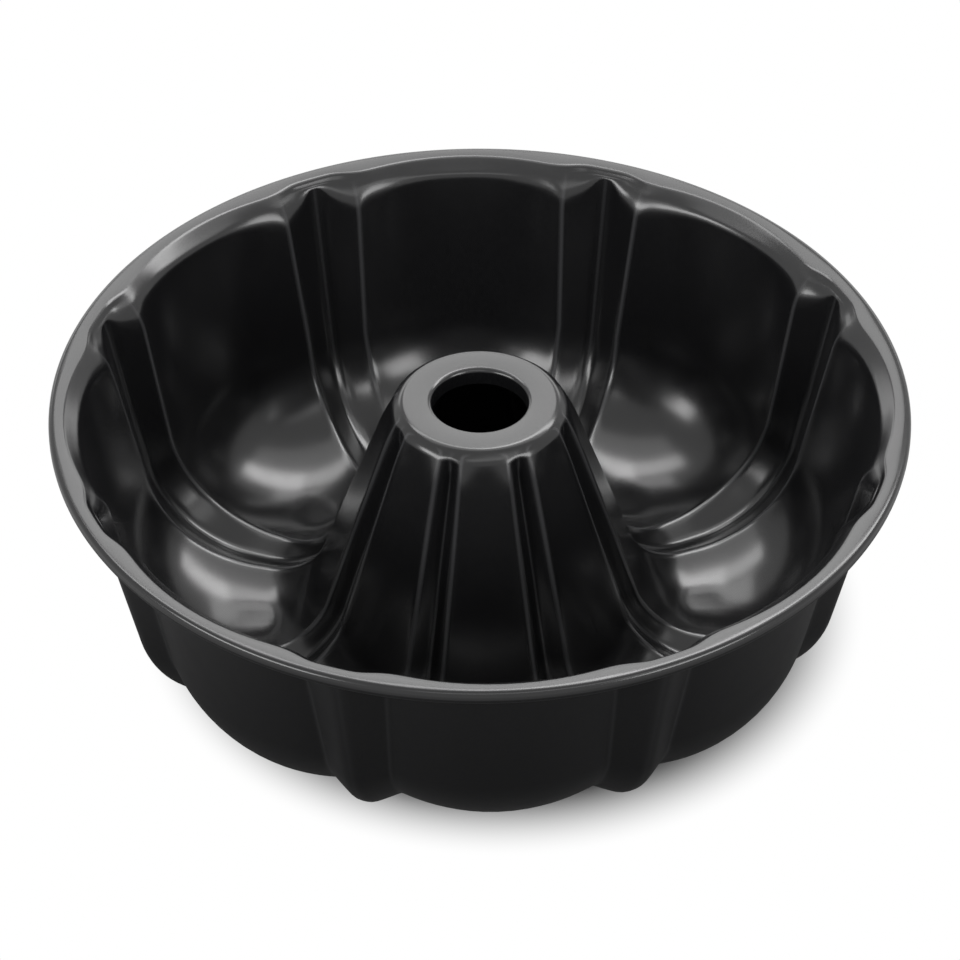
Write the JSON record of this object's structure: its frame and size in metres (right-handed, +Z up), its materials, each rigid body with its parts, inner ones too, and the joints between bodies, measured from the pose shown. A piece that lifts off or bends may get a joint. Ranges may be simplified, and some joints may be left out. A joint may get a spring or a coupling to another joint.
{
  "type": "cake pan",
  "caption": "Pressed-steel ring cake pan in a pumpkin shape: wide lobes and narrow V flutes run from the wire-rolled rim down the wall, over the floor and up the open centre tube.",
  "frame": {"origin": "on the axis of the centre tube, on the surface that the pan stands on", "axes": "+Z up along the tube's axis, towards the open rim; the middle of a lobe faces -Y"},
  "size_m": [0.2548, 0.2548, 0.0845],
  "materials": {
    "nonstick_coated_steel": "dark non-stick coating, glossy inside, satin outside",
    "bare_steel_wire": "drawn steel wire, uncoated"
  },
  "bodies": {
    "root": {"pan_shell": "nonstick_coated_steel", "rim_wire": "bare_steel_wire"}
  },
  "joints": []
}
